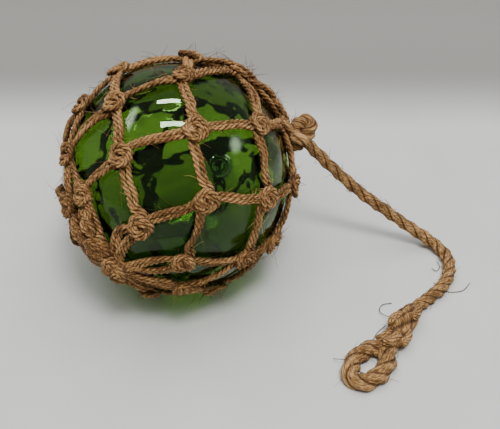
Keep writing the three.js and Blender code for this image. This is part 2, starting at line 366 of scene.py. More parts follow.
class CordMesh:
    """Gathers swept cords and builds them as one mesh with its own UV map and ridge values."""

    def __init__(self):
        self.points, self.faces, self.uvs, self.ridges, self.tones = [], [], [], [], []
        self.hair_roots = []
        self.count = 0

    def sweep(
        self,
        route,
        normals,
        radius,
        lay,
        strands=3,
        points=5,
        depth=0.3,
        closed=False,
        turn=0.0,
        twist=None,
        tone=0.5,
        yarns=0,
        shade=0.0,
        rng=None,
    ):
        """Sweeps a laid cord along a route. A positive lay turns like a right-hand screw."""
        route = np.asarray(route, float)
        ways = tangents_of(route, closed)
        normals = unit(normals - ways * np.sum(normals * ways, 1, keepdims=True))
        steps = np.linalg.norm(np.diff(route, axis=0), axis=1)
        along = np.concatenate([[0], np.cumsum(steps)])
        whole = along[-1] + (np.linalg.norm(route[0] - route[-1]) if closed else 0)
        if closed:
            lay = whole / max(1, round(whole / abs(lay))) * math.copysign(1, lay)
        angles, lobes, ridge = strand_profile(strands, points, depth)
        if twist is None:
            twist = along / lay * 2 * math.pi + turn
        radius = np.broadcast_to(radius, len(route))
        all_angles = angles[None, :] + twist[:, None]
        reach = lobes[None, :] * radius[:, None]
        if rng:
            for strand in range(strands):
                swell = 1 + 0.06 * soft_noise(len(route), 7, rng, closed)
                reach[:, strand * points : (strand + 1) * points] *= swell[:, None]
        if yarns:
            # Yarns run along the rope while the strands turn, so each one crosses its strand.
            bulge = np.abs(np.sin(yarns * (all_angles - 0.45 * twist[:, None]) / 2))
            reach *= 1 + 0.03 * (bulge - 0.6)
        tone = np.asarray(tone, float)
        tones = np.repeat(tone, points, 1) if tone.ndim == 2 else tone.reshape(-1, 1)
        if shade:
            # Painted shade: a cord is darker on the sides that face its neighbours and the glass,
            # in the creases where shade falls.
            tones = tones + shade * np.clip(np.cos(all_angles) - 0.5, -1, 0)
        self.skin(route, normals, all_angles, reach, ridge[None, :], tones, closed)

    def skin(self, route, normals, angles, reach, ridges, tones, closed=False):
        """Joins rings of points round a route into a tube, with its UV map and its values."""
        sides = np.cross(tangents_of(route, closed), normals)
        rings = (
            route[:, None, :]
            + (np.cos(angles) * reach)[..., None] * normals[:, None, :]
            + (np.sin(angles) * reach)[..., None] * sides[:, None, :]
        )
        rows, around = rings.shape[:2]
        along = np.concatenate([[0], np.cumsum(np.linalg.norm(np.diff(route, axis=0), axis=1))])
        whole = along[-1] + np.linalg.norm(route[0] - route[-1])
        self.points.append(rings.reshape(-1, 3))
        self.ridges.append(np.broadcast_to(ridges, (rows, around)).ravel())
        self.tones.append(np.broadcast_to(tones, (rows, around)).ravel())
        index = self.count + np.arange(rows * around).reshape(rows, around)
        last = rows if closed else rows - 1
        girth = 2 * math.pi * float(np.mean(reach))
        for i in range(last):
            here, there = index[i], index[(i + 1) % rows]
            nexts = np.roll(here, -1), np.roll(there, -1)
            self.faces.append(np.stack([here, nexts[0], nexts[1], there], 1))
            u = np.arange(around) / around * girth
            u_next = (np.arange(around) + 1) / around * girth
            v, v_next = along[i], along[i + 1] if i + 1 < rows else whole
            uv = np.empty((around, 4, 2))
            uv[:, 0, 0], uv[:, 1, 0], uv[:, 2, 0], uv[:, 3, 0] = u, u_next, u_next, u
            uv[:, 0, 1], uv[:, 1, 1], uv[:, 2, 1], uv[:, 3, 1] = v, v, v_next, v_next
            self.uvs.append(uv)
        self.count += rows * around
        if not closed:
            self.cap(index[0][::-1], route[0], along[0], girth)
            self.cap(index[-1], route[-1], along[-1], girth)

    def weave(self, route, normals, radius, lay, starts, rng):
        """Sweeps a splice, whose strands pass over and under those that turn the other way."""
        around = 84
        turn = np.arange(len(route)) * ROPE_STEP / lay
        angles = np.arange(around) * 2 * math.pi / around
        one = starts * (angles[None, :] / (2 * math.pi) - turn[:, None])
        other = starts * (angles[None, :] / (2 * math.pi) + turn[:, None])
        one_at, other_at = np.round(one), np.round(other)
        one_round = np.sqrt(np.maximum(0, 1 - (1.9 * (one - one_at)) ** 2))
        other_round = np.sqrt(np.maximum(0, 1 - (1.9 * (other - other_at)) ** 2))
        one_up = one_round * (0.66 + 0.34 * np.cos(math.pi * one_at) * np.cos(math.pi * other))
        other_up = other_round * (0.66 - 0.34 * np.cos(math.pi * other_at) * np.cos(math.pi * one))
        height = np.maximum(one_up, other_up)
        uneven = 1 + 0.07 * soft_noise(len(route), 9, rng)
        reach = (radius * uneven)[:, None] * (0.68 + 0.32 * height)
        bulge = np.abs(np.sin(22 * (np.where(one_up > other_up, one, -other) * math.pi / starts)))
        reach *= 1 + 0.02 * (bulge - 0.6)
        # Low places of the weave get low ridge values, which the material darkens as painted shade.
        ridges = np.clip(1.7 * (height - 0.35), 0, 1)
        tones = 0.5 + 0.35 * np.where(one_up > other_up, 1, -0.4) * np.ones_like(height)
        self.skin(route, normals, np.tile(angles, (len(route), 1)), reach, ridges, tones)

    def cap(self, ring, middle, along, girth):
        """Closes the end of a cord with a fan of faces."""
        self.points.append(np.asarray(middle, float)[None, :])
        self.ridges.append(np.array([0.6]))
        self.tones.append(np.array([0.7]))
        apex = self.count
        self.count += 1
        nexts = np.roll(ring, -1)
        fan = np.stack([ring, nexts, np.full(len(ring), apex), np.full(len(ring), apex)], 1)
        self.faces.append(fan)
        uv = np.empty((len(ring), 4, 2))
        u = np.arange(len(ring)) / len(ring) * girth
        uv[:, 0, 0], uv[:, 1, 0], uv[:, 2, 0], uv[:, 3, 0] = u, u, u, u
        uv[..., 1] = along
        self.uvs.append(uv)

    def build(self, name, material, over_glass=True):
        """Makes the mesh object, kept off the glass and above the table."""
        points = np.vstack(self.points)
        if over_glass:
            far = np.linalg.norm(points, axis=1)
            inside = far < BALL_RADIUS + 0.1
            points[inside] *= ((BALL_RADIUS + 0.1) / far[inside])[:, None]
        points = points + BALL_CENTRE
        points[:, 2] = np.maximum(points[:, 2], 0.05)
        quads = np.vstack(self.faces)
        uvs = np.vstack(self.uvs)
        mesh = bpy.data.meshes.new(name)
        triangles = quads[:, 2] == quads[:, 3]
        loops = [q[:3] if t else q for q, t in zip(quads.tolist(), triangles)]
        mesh.from_pydata((points * MM).tolist(), [], loops)
        layer = mesh.uv_layers.new(name="cord")
        keep = np.ones((len(quads), 4), bool)
        keep[triangles, 3] = False
        layer.data.foreach_set("uv", uvs[keep].astype(np.float32).ravel())
        for label, values in (("ridge", self.ridges), ("tone", self.tones)):
            attribute = mesh.attributes.new(label, "FLOAT", "POINT")
            attribute.data.foreach_set("value", np.concatenate(values).astype(np.float32))
        mesh.polygons.foreach_set("use_smooth", np.ones(len(mesh.polygons), bool))
        mesh.materials.append(material)
        mesh.validate()
        piece = bpy.data.objects.new(name, mesh)
        bpy.context.scene.collection.objects.link(piece)
        return piece


# The net's cords


def knot_frame(outward):
    """The knot's across and towards-the-head directions."""
    across = unit(np.cross(NET_AXIS, outward))
    return across, np.cross(outward, across)


def on_knot(outward, shape, size=1.0, lean=0.0):
    """A knot shape's points round its place on the ball."""
    across, along = knot_frame(outward)
    cosine, sine = math.cos(math.radians(lean)), math.sin(math.radians(lean))
    placed = []
    for x, y, z in shape:
        x, y = size * (x * cosine - y * sine), size * (x * sine + y * cosine)
        way = unit(outward * BALL_RADIUS + across * x + along * y)
        placed.append(way * (BALL_RADIUS + z))
    return placed


def leg(start, end, rng, lift=2.5, stray=0.7, shares=(0.32, 0.5, 0.68)):
    """Points of a cord that lies on the glass between two knots."""
    points = []
    sideways = unit(np.cross(start, end))
    for share in shares:
        way = unit(unit(start) * (1 - share) + unit(end) * share)
        point = way * (BALL_RADIUS + lift) + sideways * rng.uniform(-stray, stray)
        points.append(point)
    return points


def paired(mesh, points, rng, closed=True, radius=None, tone=0.6):
    """Lays two cords side by side along a route."""
    cord = settings().cord
    radius = radius or cord.thickness / MM / 2
    route = smooth_route(points, STEP, closed)
    ways = tangents_of(route, closed)
    outward = unit(route)
    outward = unit(outward - ways * np.sum(outward * ways, 1, keepdims=True))
    sides = np.cross(ways, outward)
    along = np.arange(len(route)) * STEP
    whole = len(route) * STEP
    sway = np.zeros(len(route))
    for wave in (7, 11, 16):
        turns = max(1, round(whole / (wave * 9.0))) if closed else whole / (wave * 9.0)
        most = rng.uniform(0.16, 0.34)
        sway += most * np.sin(2 * math.pi * along / whole * turns + rng.uniform(0, 6.3))
    rise = np.linalg.norm(route, axis=1) - BALL_RADIUS
    on_glass = np.clip((6.0 - rise) / 3.0, 0, 1)
    sway = sway * (0.35 + 0.65 * on_glass)
    for side in (-1, 1):
        off = side * PAIR_SPACING
        lane = route + off * (np.cos(sway)[:, None] * sides + np.sin(sway)[:, None] * outward)
        lane = lane + 0.3 * soft_noise(len(route), 9, rng, closed)[:, None] * sides
        lane = lane + 0.25 * soft_noise(len(route), 9, rng, closed)[:, None] * outward
        mesh.sweep(
            lane,
            outward,
            radius,
            -cord.lay / MM,
            points=CORD_POINTS,
            closed=closed,
            turn=rng.uniform(0, 6.3),
            tone=tone + 0.5 * soft_noise(len(route), 22, rng, closed),
            depth=0.38,
            # Strength of the painted shade on the cords' inner sides.
            shade=1.3,
            rng=rng,
        )
        mesh.hair_roots.append((lane, outward, sides, radius))


def add_hairs(mesh, roots, rng, spacing, longest=10.0):
    """Stray fibres that stand off the cords, drawn thicker than real ones so that they show."""
    for lane, outward, across, radius in roots:
        ways = tangents_of(lane)
        for _ in range(int(len(lane) * STEP / spacing)):
            i = rng.randrange(2, len(lane) - 2)
            around = rng.uniform(0, 2 * math.pi)
            off = math.cos(around) * outward[i] + math.sin(around) * across[i]
            grow = unit(ways[i] * rng.choice((-1, 1)) * rng.uniform(0.7, 2.4) + off)
            bend = unit(np.array([rng.uniform(-1, 1) for _ in range(3)]))
            length = 2.5 + longest * rng.random() ** 2
            share = np.linspace(0, 1, 5)[:, None]
            fibre = lane[i] + off * radius * 0.8 + grow * share * length
            fibre = fibre + bend * share**2 * length * rng.uniform(0.1, 0.8)
            side = unit(np.cross(grow, bend) + 1e-3)
            thick = np.linspace(0.2, 0.08, 5)
            sides = np.tile(side, (5, 1))
            mesh.sweep(fibre, sides, thick, 500, 3, 1, 0.0, tone=rng.uniform(-1.5, 1.5))


def knot_sizes(row, column):
    """The slight differences from one knot to the next."""
    rng = random.Random(SEED * 1000 + row * 31 + column % COLUMNS)
    return {"size": rng.uniform(0.94, 1.08), "lean": rng.uniform(-14, 14)}


def row_route(row, rng):
    """One zigzag cord of the net: it holds one row of knots and hangs in the next."""
    points = []
    for column in range(COLUMNS):
        here = knot_direction(row, column)
        below = column + 1 if row % 2 else column
        there = knot_direction(row + 1, below)
        after = knot_direction(row, column + 1)
        points += on_knot(here, HOLDING_BIGHT, **knot_sizes(row, column))
        points += leg(points[-1], there * BALL_RADIUS, rng)
        points += on_knot(there, HELD_BIGHT, **knot_sizes(row + 1, below))
        points += leg(points[-1], after * BALL_RADIUS, rng)
    return points


def head_eye_frame():
    """The head eye's directions and its middle."""
    out = direction(*HEAD_PLACE)
    facing = np.array(HEAD_EYE_FACING)
    front = unit(facing - out * np.dot(facing, out))
    along = np.cross(front, out)
    return out, front, along, out * HEAD_EYE["distance"]


def gathered_leg(start, middle, rng, side, lift, spread, stray=0.8):
    """A strand from a knot to the place where its loops are gathered, beside the others."""
    points = []
    sideways = unit(np.cross(start, middle)) * side
    for share in (0.28, 0.55, 0.8):
        way = unit(unit(start) * (1 - share) + unit(middle) * share)
        height = lift * (0.4 + share) + rng.uniform(0, 1.2)
        off = spread * math.sin(math.pi * min(1, share + 0.15)) + rng.uniform(-stray, stray)
        points.append(way * (BALL_RADIUS + height) + sideways * off)
    return points


def slack_leg(start, middle, rng, side, lift, spread):
    """A slack strand that winds over and under its neighbours to where the loops are gathered."""
    points = []
    sideways = unit(np.cross(start, middle)) * side
    for step, share in enumerate((0.24, 0.4, 0.56, 0.72, 0.88)):
        swing = 1 if step % 2 else -1
        way = unit(unit(start) * (1 - share) + unit(middle) * share)
        height = lift + swing * rng.uniform(0.5, 1.5)
        off = spread * swing * rng.uniform(0.6, 1)
        points.append(way * (BALL_RADIUS + height) + sideways * off)
    return points


def head_route(rng, spread, lift, size, columns, slack=False):
    """A cord whose loops run from the first row of knots through the head eye."""
    out, front, along, middle = head_eye_frame()
    points = []
    for place, column in enumerate(columns):
        after = knot_direction(0, columns[(place + 1) % len(columns)])
        here = knot_direction(0, column)
        sizes = knot_sizes(0, column)
        points += on_knot(here, HELD_BIGHT, sizes["size"] * size, sizes["lean"])
        lay_leg = slack_leg if slack else gathered_leg
        points += lay_leg(here, out, rng, 1, lift, spread)
        inside = middle + along * rng.uniform(-4.5, 4.5) - out * rng.uniform(1, 9)
        points.append(inside + front * rng.uniform(-2.5, 2.5))
        points += lay_leg(after, out, rng, -1, lift, spread)[::-1]
    return points


def foot_route(rng, spread, lift, size, columns, slack=False):
    """A cord whose loops run from the last row of knots to the gathered foot."""
    foot = direction(*FOOT_PLACE)
    across, along = knot_frame(foot)
    last = len(ROW_POLAR) - 1
    points = []
    for place, column in enumerate(columns):
        other = columns[(place + 1) % len(columns)]
        here, after = knot_direction(last, column), knot_direction(last, other)
        sizes = knot_sizes(last, column)
        points += on_knot(here, HOLDING_BIGHT, sizes["size"] * size, sizes["lean"])
        wide = FOOT_SPREADS.get((column, 1), spread)
        lay_leg = slack_leg if slack else gathered_leg
        points += lay_leg(here, foot, rng, 1, lift, wide)
        angle = rng.uniform(0, 6.3)
        off = across * math.cos(angle) * 5 + along * math.sin(angle) * 5
        points.append(unit(foot * BALL_RADIUS + off) * (BALL_RADIUS + rng.uniform(3, 9)))
        wide = FOOT_SPREADS.get((other, -1), spread)
        points += lay_leg(after, foot, rng, -1, lift, wide)[::-1]
    return points


def tangle_route(rng, centre, reach, height, count):
    """Slack cord that lies in a heap of turns where the foot is gathered."""
    middle = direction(*centre)
    across, along = knot_frame(middle)
    points = []
    for step in range(count):
        angle = step * 2.4 + rng.uniform(-0.5, 0.5)
        away = reach * rng.uniform(0.45, 1)
        flat = middle * BALL_RADIUS + (across * math.cos(angle) + along * math.sin(angle)) * away
        points.append(unit(flat) * (BALL_RADIUS + rng.uniform(3.0, height)))
    return points


# The hanging rope and its eyes, one line from the head eye to the lower eye's end


def rope_line():
    """The rope's whole line, its normals, and where the free stretch starts and ends on it."""
    out, front, along, middle = head_eye_frame()
    start = from_table(ROPE_ROUTE[0])
    onward = unit(from_table(ROPE_ROUTE[1]) - start)
    tail = [middle - 9 * out + 2 * front, start - 16 * onward + front - out, start - 8 * onward]
    free = [from_table(p) for p in ROPE_ROUTE]
    heading = math.radians(LOWER_EYE["heading"])
    eye_middle = from_table((LOWER_EYE["x"], LOWER_EYE["y"], 5.0))
    long_way = np.array([math.cos(heading), math.sin(heading), 0])
    wide_way = np.array([-math.sin(heading), math.cos(heading), 0])
    throat = eye_middle + long_way * (LOWER_EYE["long"] + 8)
    ring = []
    for degrees in (24, 50, 80, 112, 146, 180, 214, 248, 280, 310, 338):
        angle = math.radians(degrees)
        ring.append(
            eye_middle
            + long_way * LOWER_EYE["long"] * math.cos(angle)
            + wide_way * LOWER_EYE["wide"] * math.sin(angle)
        )
    end = throat + np.array([0, 0, 0.5])
    line = smooth_route(tail + free + [throat] + ring + [end], ROPE_STEP)
    first = int(np.argmin(np.linalg.norm(line - start, axis=1)))
    last = int(np.argmin(np.linalg.norm(line - free[-1], axis=1)))
    return line, steady_normals(line, out), first, last


# Materials


def add_node(tree, kind, options=None, inputs=None, links=None):
    """Adds one shader node with its options, its input values and what feeds its inputs."""
    node = tree.nodes.new(kind)
    for name, value in (options or {}).items():
        setattr(node, name, value)
    for name, value in (inputs or {}).items():
        node.inputs[name].default_value = value
    for name, source in (links or {}).items():
        tree.links.new(source, node.inputs[name])
    return node


def new_material(name):
    """An empty material with its output node."""
    material = bpy.data.materials.new(name)
    material.use_nodes = True
    material.node_tree.nodes.clear()
    output = material.node_tree.nodes.new("ShaderNodeOutputMaterial")
    return material, material.node_tree, output


def set_ramp(node, stops):
    """Sets a colour ramp's stops from hex colours."""
    ramp = node.color_ramp
    while len(ramp.elements) > 1:
        ramp.elements.remove(ramp.elements[-1])
    for index, (place, colour) in enumerate(stops):
        element = ramp.elements[0] if index == 0 else ramp.elements.new(place)
        element.position = place
        element.color = linear(colour)


def laid_manila(name, colours, fibre_width, slant_degrees):
    """Laid manila: hard plant fibre spun into yarns, matte, with painted shade between the strands.
    """
    material, tree, output = new_material(name)
    where = add_node(tree, "ShaderNodeTexCoord")
    own = add_node(tree, "ShaderNodeUVMap", {"uv_map": "cord"})
    ridge = add_node(tree, "ShaderNodeAttribute", {"attribute_name": "ridge"})
    tone = add_node(tree, "ShaderNodeAttribute", {"attribute_name": "tone"})
    # Yarns on the outside of a strand run nearly along the rope, so they cross the strand.
    # Manila fibres are about 0.2 mm thick and are drawn as 0.6 to 0.7 mm, so that they show.
    slant = add_node(
        tree,
        "ShaderNodeMapping",
        {"vector_type": "TEXTURE"},
        {
            "Rotation": (0, 0, math.radians(slant_degrees)),
            "Scale": (fibre_width, 7 * fibre_width, 1),
        },
        {"Vector": own.outputs["UV"]},
    )
    fibres = add_node(
        tree,
        "ShaderNodeTexNoise",
        {},
        {"Scale": 1.0, "Detail": 3.0, "Roughness": 0.6},
        {"Vector": slant.outputs["Vector"]},
    )
    # Paler and darker patches, about 11 mm long.
    patches = add_node(
        tree,
        "ShaderNodeTexNoise",
        {},
        {"Scale": 90.0, "Detail": 3.0, "Roughness": 0.6},
        {"Vector": where.outputs["Object"]},
    )
    light_share = add_node(
        tree,
        "ShaderNodeMath",
        {"operation": "MULTIPLY_ADD"},
        {1: 2.2},
        {0: fibres.outputs["Fac"], 2: patches.outputs["Fac"]},
    )
    # The tone values carry random differences and the painted shade on the cords' inner sides.
    toned = add_node(
        tree,
        "ShaderNodeMath",
        {"operation": "MULTIPLY_ADD"},
        {1: 0.35},
        {0: tone.outputs["Fac"], 2: light_share.outputs["Value"]},
    )
    # Painted shade: the colour is darker where the ridge value is low, in the valleys between
    # strands.
    lift = add_node(
        tree,
        "ShaderNodeMath",
        {"operation": "MULTIPLY_ADD"},
        {1: 0.75},
        {0: ridge.outputs["Fac"], 2: toned.outputs["Value"]},
    )
    spread = add_node(
        tree,
        "ShaderNodeMapRange",
        {},
        {"From Min": 1.62, "From Max": 2.88},
        {"Value": lift.outputs["Value"]},
    )
    colour = add_node(tree, "ShaderNodeValToRGB", {}, {}, {"Fac": spread.outputs["Result"]})
    set_ramp(colour, tuple(zip((0.0, 0.3, 0.62, 1.0), colours)))
    height = add_node(
        tree,
        "ShaderNodeMath",
        {"operation": "MULTIPLY_ADD"},
        {1: 1.0},
        {0: fibres.outputs["Fac"], 2: patches.outputs["Fac"]},
    )
    bump = add_node(
        tree,
        "ShaderNodeBump",
        {},
        {"Strength": 1.0, "Distance": 0.0016},
        {"Height": height.outputs["Value"]},
    )
    shader = add_node(
        tree,
        "ShaderNodeBsdfPrincipled",
        {},
        {
            "Roughness": 0.82,
            "IOR": 1.53,
            "Specular IOR Level": 0.15,
            "Sheen Weight": 0.05,
            "Sheen Roughness": 0.5,
        },
        {"Base Color": colour.outputs["Color"], "Normal": bump.outputs["Normal"]},
    )
    tree.links.new(shader.outputs["BSDF"], output.inputs["Surface"])
    return material


def bottle_glass():
    """Hand-blown soda-lime glass, green from iron: smooth and clear. Lamps shine through it."""
    material, tree, output = new_material("hand_blown_green_glass")
    where = add_node(tree, "ShaderNodeTexCoord")
    sizes = settings().ball
    seal = (BALL_CENTRE + direction(*SEAL_PLACE) * BALL_RADIUS) * MM
    edge = sizes.seal_radius
    away = add_node(
        tree,
        "ShaderNodeVectorMath",
        {"operation": "DISTANCE"},
        {1: tuple(seal)},
        {0: where.outputs["Object"]},
    )
    # The glass is thick at the seal button and thins out within 5 mm of its edge.
    thick = add_node(
        tree,
        "ShaderNodeMapRange",
        {"interpolation_type": "SMOOTHSTEP"},
        {"From Min": edge, "From Max": edge + 5 * MM, "To Min": 1.0, "To Max": 0.0},
        {"Value": away.outputs["Value"]},
    )
    green = add_node(
        tree,
        "ShaderNodeMix",
        {"data_type": "RGBA"},
        {6: tuple(sizes.glass_colour), 7: linear(SEAL_GREEN)},
        {0: thick.outputs["Result"]},
    )
    shader = add_node(
        tree,
        "ShaderNodeBsdfPrincipled",
        {},
        {
            "Roughness": 0.0,
            "IOR": 1.5,
            "Transmission Weight": 1.0,
            "Specular Tint": (0.45, 0.62, 0.38, 1),
        },
        {"Base Color": green.outputs[2]},
    )
    clear = add_node(tree, "ShaderNodeBsdfTransparent", {}, {"Color": linear(GLASS_SHADE)})
    ray = add_node(tree, "ShaderNodeLightPath")
    mixed = add_node(
        tree,
        "ShaderNodeMixShader",
        {},
        {},
        {0: ray.outputs["Is Shadow Ray"], 1: shader.outputs["BSDF"], 2: clear.outputs["BSDF"]},
    )
    tree.links.new(mixed.outputs["Shader"], output.inputs["Surface"])
    return material


def pale_cloth(name, colours):
    """Plain matte studio cloth under the object, with painted shade where it rises behind."""
    material, tree, output = new_material(name)
    where = add_node(tree, "ShaderNodeTexCoord")
    # Faint unevenness of the cloth's lie, about 70 mm across. Its weave is too fine to show.
    soft = add_node(
        tree,
        "ShaderNodeTexNoise",
        {},
        {"Scale": 14.0, "Detail": 2.0},
        {"Vector": where.outputs["Object"]},
    )
    ramp = add_node(tree, "ShaderNodeValToRGB", {}, {}, {"Fac": soft.outputs["Fac"]})
    set_ramp(ramp, ((0.3, colours[0]), (0.7, colours[1])))
    apart = add_node(tree, "ShaderNodeSeparateXYZ", {}, {}, {"Vector": where.outputs["Object"]})
    # Painted shade: the cloth takes its last, darker colour where it rises behind the ball, as if
    # less light reached it there.
    behind = add_node(
        tree,
        "ShaderNodeMapRange",
        {"interpolation_type": "SMOOTHSTEP"},
        {"From Min": BEND_START, "From Max": BEND_START + BEND_LENGTH / 2},
        {"Value": apart.outputs["Y"]},
    )
    mixed = add_node(
        tree,
        "ShaderNodeMix",
        {"data_type": "RGBA"},
        {7: linear(colours[2])},
        {0: behind.outputs["Result"], 6: ramp.outputs["Color"]},
    )
    shader = add_node(
        tree,
        "ShaderNodeBsdfPrincipled",
        {},
        {"Roughness": 0.9, "Specular IOR Level": 0.2},
        {"Base Color": mixed.outputs[2]},
    )
    tree.links.new(shader.outputs["BSDF"], output.inputs["Surface"])
    return material


# Settings that a user would change


class FloatBallSizes(bpy.types.PropertyGroup):
    """Sizes and colour of the glass ball."""

    wall: bpy.props.FloatProperty(
        name="Glass wall",
        description="Thickness of the blown glass",
        default=3.4 * MM,
        unit="LENGTH",
    )
    seal_radius: bpy.props.FloatProperty(
        name="Seal radius",
        description="Radius of the button of glass that closed the blowing hole",
        default=7 * MM,
        unit="LENGTH",
    )
    glass_colour: bpy.props.FloatVectorProperty(
        name="Glass colour",
        description="Colour that light takes on each time it passes a side of the glass",
        default=linear(GLASS_GREEN),
        min=0,
        max=1,
        size=4,
        subtype="COLOR",
    )


class FloatCordSizes(bpy.types.PropertyGroup):
    """Sizes of the net's cord and the hanging rope."""

    thickness: bpy.props.FloatProperty(
        name="Cord thickness",
        description="Thickness of each of the net's two cords",
        default=3.9 * MM,
        unit="LENGTH",
    )
    lay: bpy.props.FloatProperty(
        name="Cord lay",
        description="Length along the cord in which its strands turn once",
        default=11.5 * MM,
        unit="LENGTH",
    )
    rope_thickness: bpy.props.FloatProperty(
        name="Rope thickness",
        description="Thickness of the hanging rope",
        default=9.5 * MM,
        unit="LENGTH",
    )
    rope_lay: bpy.props.FloatProperty(
        name="Rope lay",
        description="Length along the rope in which its strands turn once",
        default=20 * MM,
        unit="LENGTH",
    )


class FloatBallSettings(bpy.types.PropertyGroup):
    """All the settings of the float ball."""

    ball: bpy.props.PointerProperty(type=FloatBallSizes)
    cord: bpy.props.PointerProperty(type=FloatCordSizes)


# Operators


class SetStage(bpy.types.Operator):
    """Places the camera at the photograph's angle, the pale floor and the soft lights"""

    bl_idname = "scene.float_stage"
    bl_label = "Camera, floor and lights"

    def execute(self, context):
        data = bpy.data.cameras.new("camera")
        data.sensor_width = CAMERA_SENSOR
        data.lens = CAMERA_SENSOR * CAMERA_FOCUS
        data.clip_start, data.clip_end = 0.02, 20
        camera = bpy.data.objects.new("camera", data)
        context.scene.collection.objects.link(camera)
        place = np.array(CAMERA_PLACE) + np.array([BALL_CENTRE[0], BALL_CENTRE[1], 0])
        camera.location = Vector(place * MM)
        camera.rotation_euler = (math.radians(90 - CAMERA_DOWN), 0, 0)
        context.scene.camera = camera

        deselect()
        bpy.ops.mesh.primitive_grid_add(
            x_subdivisions=2, y_subdivisions=600, size=FLOOR_SIZE, location=(0, 0, 0)
        )
        floor = context.object
        floor.name = "floor"
        for vertex in floor.data.vertices:
            share = min(1, max(0, (vertex.co.y - BEND_START) / BEND_LENGTH))
            vertex.co.z = BEND_RISE * share * share * (3 - 2 * share)
        floor.data.polygons.foreach_set("use_smooth", [True] * len(floor.data.polygons))
        floor.data.materials.append(pale_cloth("matte_studio_cloth", CLOTH_COLOURS))

        world = bpy.data.worlds.new("soft_grey")
        context.scene.world = world
        world.use_nodes = True
        # The room looks paler in the glass and to the camera than the light that it sheds.
        tree = world.node_tree
        ray = add_node(tree, "ShaderNodeLightPath")
        seen = add_node(
            tree,
            "ShaderNodeMath",
            {"operation": "MAXIMUM"},
            {},
            {0: ray.outputs["Is Camera Ray"], 1: ray.outputs["Is Glossy Ray"]},
        )
        strength = add_node(
            tree,
            "ShaderNodeMath",
            {"operation": "MULTIPLY_ADD"},
            {1: 0.27, 2: 0.12},
            {0: seen.outputs["Value"]},
        )
        background = tree.nodes["Background"]
        background.inputs["Color"].default_value = (0.8, 0.82, 0.85, 1)
        tree.links.new(strength.outputs["Value"], background.inputs["Strength"])

        # These four are only seen mirrored in the glass.
        mirrored = (
            self.light("strip_back", (0, 117), 1.3, (0.62, 0.11), 14),
            self.light("strip_front", (0, 91), 1.3, (0.5, 0.11), 12),
            self.soften(self.light("soft_left", (-111, 50.5), 1.4, (0.8, 0.32), 6)),
            self.soften(self.light("soft_right", (92, 33), 1.4, (0.55, 0.4), 4)),
        )
        for lamp in mirrored:
            lamp.visible_diffuse = False
        # These two light the scene from above and a little from the front.
        key = self.light("soft_key", (22, 67), 2.4, (0.6, 0.5), 42)
        fill = self.light("soft_top", (0, 90), 2.2, (3.2, 3.0), 73)
        for lamp in (key, fill):
            lamp.visible_glossy = False
            lamp.visible_transmission = False
        return {"FINISHED"}

    def soften(self, lamp):
        """Lets a lamp fade out towards its edges."""
        lamp.data.use_nodes = True
        tree = lamp.data.node_tree
        place = add_node(tree, "ShaderNodeNewGeometry")
        away = add_node(
            tree,
            "ShaderNodeVectorMath",
            {"operation": "DISTANCE"},
            {1: (0.5, 0.5, 0)},
            {0: place.outputs["Parametric"]},
        )
        fade = add_node(
            tree,
            "ShaderNodeMapRange",
            {"interpolation_type": "SMOOTHSTEP"},
            {"From Min": 0.05, "From Max": 0.5, "To Min": 2.5, "To Max": 0.0},
            {"Value": away.outputs["Value"]},
        )
        tree.links.new(fade.outputs["Result"], tree.nodes["Emission"].inputs["Strength"])
        return lamp

    def light(self, name, place, distance, size, power):
        """One rectangular lamp that shines on the ball from a heading and an elevation."""
        data = bpy.data.lights.new(name, "AREA")
        data.shape = "RECTANGLE"
        data.size, data.size_y = size
        data.energy = power
        lamp = bpy.data.objects.new(name, data)
        heading, elevation = (math.radians(angle) for angle in place)
        offset = distance * Vector(
            (
                math.sin(heading) * math.cos(elevation),
                -math.cos(heading) * math.cos(elevation),
                math.sin(elevation),
            )
        )
        lamp.location = Vector(BALL_CENTRE * MM) + offset
        lamp.rotation_mode = "QUATERNION"
        lamp.rotation_quaternion = (-offset).to_track_quat("-Z", "Y")
        bpy.context.scene.collection.objects.link(lamp)
        return lamp


